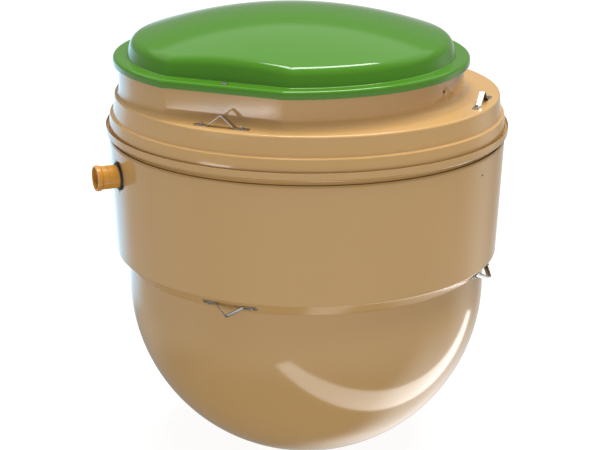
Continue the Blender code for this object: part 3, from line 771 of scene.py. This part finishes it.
def bar_path():
    """Middle line of the bent bar as (along, rise), with its bends turned through small radii."""
    middle = LUG_THICKNESS / 2
    corners = [
        (-LUG_HALF_LENGTH, middle, 0.0),
        (-LUG_BEND, middle, 0.010),
        (-LUG_TIP * 0.35, LUG_RISE - middle * 0.2, 0.011),
        (LUG_TIP * 0.35, LUG_RISE - middle * 0.2, 0.0),
        (LUG_BEND, middle, 0.010),
        (LUG_HALF_LENGTH, middle, 0.0),
    ]
    apex = (0.0, LUG_RISE + 0.0012, 0.0115)
    return rounded([corners[0], corners[1], apex, corners[4], corners[5]], closed=False)


def bar_section(shrink=0.0):
    """Rounded oblong section of the bar as (across, thick)."""
    half_width = LUG_WIDTH / 2 - shrink
    half_thick = LUG_THICKNESS / 2 - shrink
    edge = LUG_EDGE - shrink * 0.8
    points = []
    for x, y, start in ((1, 1, 0), (-1, 1, 90), (-1, -1, 180), (1, -1, 270)):
        centre = (x * (half_width - edge), y * (half_thick - edge))
        points += arc(centre, edge, start, start + 90, 3)
    return points


def make_bar(name, node, to_world):
    path = bar_path()
    rings = []
    last = len(path) - 1
    for i, (along, rise) in enumerate(path):
        before, after = path[max(i - 1, 0)], path[min(i + 1, last)]
        tangent = (Vector(after) - Vector(before)).normalized()
        shrinks = [0.0]
        if i in (0, last):
            shrinks = [0.0008, 0.0] if i == 0 else [0.0, 0.0008]
        for shrink in shrinks:
            inset = 0.0 if shrink else LUG_EDGE * 0.7 * (1 if i == 0 else -1 if i == last else 0)
            ring = []
            for across, thick in bar_section(shrink):
                a = along + inset - tangent.y * thick
                r = rise + tangent.x * thick
                ring.append(to_world(a, across, r))
            rings.append(ring)
    return finish_mesh(name, loft(rings, caps=True), STEEL, [node])


def nut_radius(turn):
    sector = (turn + math.pi / 6) % (math.pi / 3) - math.pi / 6
    return NUT_APOTHEM / math.cos(sector)


def make_bolt(name, node, base, up, spin):
    """Washer, six-sided nut with chamfered corners, and the rounded end of its stud."""
    sides = 48
    turns = [2 * math.pi * i / sides for i in range(sides)]
    seat = LUG_THICKNESS + GAP * 0.5
    top_of_washer = seat + WASHER_THICKNESS
    top_of_nut = top_of_washer + NUT_HEIGHT
    rings = [[Vector((0.0, 0.0, seat))]]

    def circle(radius, height):
        rings.append([Vector((radius * math.cos(t), radius * math.sin(t), height)) for t in turns])

    def hexagon(limit, height):
        radii = [min(nut_radius(t), limit) for t in turns]
        ring = [Vector((r * math.cos(t), r * math.sin(t), height)) for r, t in zip(radii, turns)]
        rings.append(ring)

    circle(WASHER_RADIUS - 0.0003, seat)
    circle(WASHER_RADIUS, seat + 0.0003)
    circle(WASHER_RADIUS, top_of_washer - 0.0004)
    circle(WASHER_RADIUS - 0.0004, top_of_washer)
    corner = NUT_APOTHEM / math.cos(math.pi / 6)
    hexagon(NUT_APOTHEM, top_of_washer)
    hexagon(corner, top_of_washer + 0.0008)
    hexagon(corner, top_of_nut - 0.0010)
    hexagon(NUT_APOTHEM * 0.97, top_of_nut)
    circle(STUD_RADIUS + 0.0006, top_of_nut)
    circle(STUD_RADIUS, top_of_nut - 0.0004)
    circle(STUD_RADIUS, top_of_nut + STUD_HEIGHT * 0.7)
    circle(STUD_RADIUS * 0.78, top_of_nut + STUD_HEIGHT)
    rings.append([Vector((0.0, 0.0, top_of_nut + STUD_HEIGHT))])
    bolt = finish_mesh(name, loft(rings), BOLT_STEEL, [node], 25.0)
    turn = Matrix.Rotation(math.radians(spin), 4, "Z")
    facing = up.to_track_quat("Z", "Y").to_matrix().to_4x4()
    return place_piece(bolt, Matrix.Translation(base) @ facing @ turn)


def upper_lug_place(azimuth, distance, facing):
    """Flat on the deck, square to the way it faces."""
    middle = outward(azimuth) * distance
    away = outward(facing)
    along_bar = Vector((-away.y, away.x, 0.0))

    def to_world(along, across, rise):
        spot = middle + away * across + along_bar * along
        return Vector((spot.x, spot.y, DECK_HEIGHT + GAP + rise))

    return to_world


def lower_lug_place(azimuth):
    """Bent round the sloping shelf, square to it, with the bight pointing out and down."""
    shelf_foot = BOWL_TOP + GAP
    run = DRUM_FOOT_RADIUS - BOWL_RADIUS
    climb = DRUM_FOOT - shelf_foot
    length = math.hypot(run, climb)
    middle_radius = BOWL_RADIUS + run / 2
    middle_height = shelf_foot + climb / 2

    def to_world(along, across, rise):
        stand = rise + GAP * 2
        away = outward(azimuth + math.degrees(along / middle_radius))
        radius = middle_radius + (across * run + stand * climb) / length
        height = middle_height + (across * climb - stand * run) / length
        return Vector((away.x * radius, away.y * radius, height))

    return to_world


def make_lugs():
    upper = [upper_lug_place(*place) for place in UPPER_LUG_PLACES]
    lower = [lower_lug_place(azimuth) for azimuth in LOWER_LUG_AZIMUTHS]
    for label, piece_label, places in (
        ("lifting_lug", "lifting_bar", upper),
        ("anchor_lug", "anchor_bar", lower),
    ):
        for number, to_world in enumerate(places, 1):
            make_bar(f"{piece_label}_{number}", f"{label}_{number}", to_world)
            for end in (-1, 1):
                side = (end + 3) // 2
                base = to_world(end * BOLT_OFFSET, 0.0, 0.0)
                up = to_world(end * BOLT_OFFSET, 0.0, 1.0) - base
                spin = 17.0 * number + 23.0 * side
                make_bolt(f"{piece_label}_{number}_nut_{side}", f"{label}_{number}_bolt_{side}", base, up, spin)


# Small fittings

def make_plug(name, node, radius, material):
    """Low domed plug head on a thin flange, with a shallow dish in its middle."""
    corners = [
        (radius, 0.0, 0.0),
        (radius, PLUG_HEIGHT * 0.4, PLUG_HEIGHT * 0.18),
        (radius * 0.72, PLUG_HEIGHT * 0.5, PLUG_HEIGHT * 0.1),
        (radius * 0.58, PLUG_HEIGHT, PLUG_HEIGHT * 0.25),
        (radius * 0.25, PLUG_HEIGHT * 0.95, PLUG_HEIGHT * 0.1),
        (0.0, PLUG_HEIGHT * 0.75, 0.0),
    ]
    profile = [(0.0, 0.0)] + rounded(corners, closed=False)
    return turned(name, profile, material, [node], 40, closed=False)


def make_plugs():
    metal = make_plug("drum_plug_head", "drum_plug", DRUM_PLUG_RADIUS, BOLT_STEEL)
    spot = outward(DRUM_PLUG_AZIMUTH) * (drum_radius(DRUM_PLUG_HEIGHT) + GAP)
    spot.z = DRUM_PLUG_HEIGHT
    place_piece(metal, Matrix.Translation(spot) @ radial_frame(DRUM_PLUG_AZIMUTH))
    brown = make_plug("neck_plug_head", "neck_plug", NECK_PLUG_RADIUS, BROWN)
    spot = NECK_AXIS + outward(NECK_PLUG_AZIMUTH) * (NECK_RADIUS + GAP)
    spot.z = NECK_PLUG_HEIGHT
    place_piece(brown, Matrix.Translation(spot) @ radial_frame(NECK_PLUG_AZIMUTH))


def oblong(half_length, half_width, corner, height, steps=6):
    points = []
    for x, y, start in ((1, 1, 0), (-1, 1, 90), (-1, -1, 180), (1, -1, 270)):
        centre = (x * (half_length - corner), y * (half_width - corner))
        points += arc(centre, corner, start, start + 90, steps)
    return [Vector((x, y, height)) for x, y in points]


def make_catch():
    """Small steel catch on the rim, with a dark keyway in its top."""
    half_length, half_width, corner = LOCK_LENGTH / 2, LOCK_WIDTH / 2, LOCK_WIDTH * 0.3
    edge = 0.001
    rings = [oblong(half_length, half_width, corner, 0.0)]
    for i in range(4):
        turn = math.pi / 2 * i / 3
        inset = edge * (1 - math.cos(turn))
        height = LOCK_HEIGHT - edge * (1 - math.sin(turn))
        rings.append(oblong(half_length - inset, half_width - inset, corner - inset, height))
    pocket_length, pocket_width = half_length * 0.76, half_width * 0.66
    pocket_corner = pocket_width * 0.9
    rings.append(oblong(pocket_length, pocket_width, pocket_corner, LOCK_HEIGHT))
    rings.append(oblong(pocket_length, pocket_width, pocket_corner, LOCK_HEIGHT * 0.45))
    body = finish_mesh("catch_body", loft(rings, caps=True), BOLT_STEEL, ["lid_lock"])
    knob_rings = [oblong(pocket_length * 0.93, pocket_width * 0.93, pocket_corner * 0.93, LOCK_HEIGHT * 0.5)]
    for i in range(5):
        turn = math.pi / 2 * i / 5
        share = 0.93 * math.cos(turn)
        height = LOCK_HEIGHT * (0.9 + 0.3 * math.sin(turn))
        knob_rings.append(oblong(pocket_length * share, pocket_width * share, pocket_corner * share, height))
    knob = finish_mesh("catch_key_cap", loft(knob_rings, caps=True), DARK, [])
    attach(knob, "root")
    spot = NECK_AXIS + outward(FLAT_AZIMUTH) * LOCK_DISTANCE
    spot.z = LID_RIM_TOP + GAP
    turn = Matrix.Rotation(math.radians(FLAT_AZIMUTH), 4, "Z")
    for piece in (body, knob):
        place_piece(piece, Matrix.Translation(spot) @ turn)


# Stage, light and camera

def make_stage():
    """Wide pale floor that only the camera sees, so that it throws no colour on the object."""
    bm = bmesh.new()
    bmesh.ops.create_grid(bm, x_segments=4, y_segments=4, size=60.0)
    mesh = bpy.data.meshes.new("floor")
    bm.to_mesh(mesh)
    bm.free()
    floor = bpy.data.objects.new("floor", mesh)
    bpy.context.scene.collection.objects.link(floor)
    floor.visible_diffuse = False
    floor.visible_glossy = False
    floor.visible_shadow = False
    material = bpy.data.materials.new("pale_floor")
    material.use_nodes = True
    shader = material.node_tree.nodes["Principled BSDF"]
    shader.inputs["Base Color"].default_value = (0.12, 0.12, 0.12, 1.0)
    shader.inputs["Roughness"].default_value = 0.9
    shader.inputs["Specular IOR Level"].default_value = 0.0
    shader.inputs["Emission Color"].default_value = (1.0, 1.0, 1.0, 1.0)
    shader.inputs["Emission Strength"].default_value = 0.93
    mesh.materials.append(material)


# Soft studio surroundings: brightness by height in degrees, then soft patches on top of it
SKY_LEVELS = ((-90, 0.12), (-60, 0.13), (-40, 0.22), (-20, 0.42), (0, 0.32), (12, 0.26), (27, 0.23), (60, 0.30), (90, 0.45))
# name, azimuth, half width, side blur, lower edge, its blur, upper edge, its blur, colour
SKY_PATCHES = (
    ("over_the_back", 180, 75, 50, 27, 4, 100, 10, (0.44, 0.44, 0.44)),
    ("low_front", 10, 75, 90, -48, 26, -4, 14, (0.56, 0.56, 0.56)),
    ("left_side", -105, 38, 40, -34, 14, 0, 16, (0.38, 0.38, 0.38)),
    ("low_right", 130, 44, 30, -62, 18, -29, 26, (1.55, 1.52, 1.48)),
    ("right_side", 122, 12, 24, -30, 15, 4, 14, (0.55, 0.55, 0.55)),
    ("back_left_cool", -152, 18, 20, -21.5, 5, -2, 12, (0.45, 0.95, 1.35)),
    ("back", 180, 25, 30, -22, 5, -2, 12, (0.30, 0.30, 0.30)),
)


def sky_ramp(tree, value, start, end, first, last):
    node = add_node(tree, "ShaderNodeMapRange", interpolation_type="SMOOTHSTEP")
    tree.links.new(value, node.inputs["Value"])
    node.inputs["From Min"].default_value = math.radians(start)
    node.inputs["From Max"].default_value = math.radians(end)
    node.inputs["To Min"].default_value = first
    node.inputs["To Max"].default_value = last
    return node.outputs["Result"]


def sky_patch(tree, level, turn, azimuth, half_width, side, low, low_blur, high, high_blur, colour):
    offset = add_node(tree, "ShaderNodeMath", operation="WRAP")
    tree.links.new(math_node(tree, "SUBTRACT", turn, math.radians(azimuth)), offset.inputs[0])
    offset.inputs[1].default_value = math.pi
    offset.inputs[2].default_value = -math.pi
    away = math_node(tree, "ABSOLUTE", offset.outputs[0], 0.0)
    mask = sky_ramp(tree, away, half_width - side / 2, half_width + side / 2, 1.0, 0.0)
    lower = sky_ramp(tree, level, low - low_blur / 2, low + low_blur / 2, 0.0, 1.0)
    upper = sky_ramp(tree, level, high - high_blur / 2, high + high_blur / 2, 1.0, 0.0)
    mask = math_node(tree, "MULTIPLY", math_node(tree, "MULTIPLY", mask, lower), upper)
    patch = add_node(tree, "ShaderNodeVectorMath", operation="SCALE")
    patch.inputs[0].default_value = colour
    tree.links.new(mask, patch.inputs["Scale"])
    return patch.outputs[0]


def make_world():
    """Soft white surroundings, brighter overhead and low in front, with a cool side at the left."""
    world = bpy.data.worlds.new("studio")
    bpy.context.scene.world = world
    world.use_nodes = True
    tree = world.node_tree
    split = tree.nodes.new("ShaderNodeSeparateXYZ")
    tree.links.new(tree.nodes.new("ShaderNodeTexCoord").outputs["Generated"], split.inputs[0])
    level = math_node(tree, "ARCSINE", split.outputs["Z"], 0.0)
    front = math_node(tree, "MULTIPLY", split.outputs["Y"], -1.0)
    turn = math_node(tree, "ARCTAN2", split.outputs["X"], front)
    brightness = SKY_LEVELS[0][1]
    for (low, low_value), (high, high_value) in zip(SKY_LEVELS, SKY_LEVELS[1:]):
        rise = sky_ramp(tree, level, low, high, 0.0, high_value - low_value)
        brightness = math_node(tree, "ADD", rise, brightness)
    total = brightness
    for name, *values in SKY_PATCHES:
        layer = add_node(tree, "ShaderNodeVectorMath", operation="ADD", label=name)
        tree.links.new(total, layer.inputs[0])
        tree.links.new(sky_patch(tree, level, turn, *values), layer.inputs[1])
        total = layer.outputs[0]
    tree.links.new(total, tree.nodes["Background"].inputs["Color"])


def make_panel(name, centre, target, size, radiance, colour=(1.0, 1.0, 1.0)):
    """Rectangular light with a given radiance that shows only as a gloss highlight."""
    light = bpy.data.lights.new(name, "AREA")
    light.shape = "RECTANGLE"
    light.size, light.size_y = size
    light.energy = radiance * math.pi * size[0] * size[1]
    light.color = colour
    lamp = bpy.data.objects.new(name, light)
    bpy.context.scene.collection.objects.link(lamp)
    lamp.location = centre
    lamp.rotation_mode = "QUATERNION"
    lamp.rotation_quaternion = (Vector(target) - Vector(centre)).to_track_quat("-Z", "Y")
    lamp.visible_camera = False
    lamp.visible_diffuse = False
    return lamp


def make_sun(name, energy, direction, angle):
    """Wide soft light from far away that leaves no highlight."""
    light = bpy.data.lights.new(name, "SUN")
    light.energy = energy * math.pi
    light.angle = math.radians(angle)
    lamp = bpy.data.objects.new(name, light)
    bpy.context.scene.collection.objects.link(lamp)
    lamp.rotation_mode = "QUATERNION"
    lamp.rotation_quaternion = direction.to_track_quat("Z", "Y")
    lamp.visible_glossy = False


def make_lights():
    make_world()
    make_sun("top_light", 1.45, outward(120.0) * 0.15 + UP, 50.0)
    make_sun("side_fill", 0.10, outward(-45.0), 60.0)
    make_sun("low_fill", 0.17, outward(5.0) * 0.85 - UP * 0.53, 60.0)
    strip = make_panel("low_strip", (0.90, -0.42, 0.004), (0.90, -0.42, 1.0), (3.6, 0.26), 3.8)
    strip.rotation_mode = "XYZ"
    strip.rotation_euler = (math.pi, 0.0, math.radians(46.2))
    overhead = make_panel("overhead_softbox", (0.45, 0.62, 6.0), (0.45, 0.62, 0.0), (3.7, 1.25), 12.0)
    overhead.rotation_mode = "XYZ"
    overhead.rotation_euler = (0.0, 0.0, math.radians(37.0))
    make_panel("neck_strip", (-1.45, -1.70, 1.47), (-0.382, -0.71, 1.836), (0.60, 0.036), 15.0)


def make_camera():
    """Camera at the photograph's place, tilted down, with a whisker of roll."""
    pitch, yaw, roll = 0.315832, -0.00425, 0.00334
    forward = Vector((math.sin(yaw) * math.cos(pitch), math.cos(yaw) * math.cos(pitch), -math.sin(pitch)))
    right = Vector((math.cos(yaw), -math.sin(yaw), 0.0))
    above = right.cross(forward)
    right_rolled = right * math.cos(roll) + above * math.sin(roll)
    above_rolled = above * math.cos(roll) - right * math.sin(roll)
    data = bpy.data.cameras.new("camera")
    data.sensor_width = 36.0
    data.lens = 95.75
    data.clip_start, data.clip_end = 0.1, 200.0
    camera = bpy.data.objects.new("camera", data)
    bpy.context.scene.collection.objects.link(camera)
    facing = Matrix((right_rolled, above_rolled, -forward)).transposed().to_4x4()
    camera.matrix_world = Matrix.Translation((0.0, -7.5308, 3.5439)) @ facing
    bpy.context.scene.camera = camera


def set_colour_rendering():
    view = bpy.context.scene.view_settings
    view.view_transform = "Standard"
    view.look = "None"
    view.exposure = 0.0
    view.gamma = 1.0


make_bowl()
make_drum()
make_tank_flange()
make_cover()
make_lid()
make_inlet()
make_outlet()
make_sleeve("inlet", INLET_AZIMUTH, INLET_HEIGHT)
make_sleeve("outlet", OUTLET_AZIMUTH, OUTLET_HEIGHT)
make_lugs()
make_plugs()
make_catch()
make_stage()
make_lights()
make_camera()
set_colour_rendering()
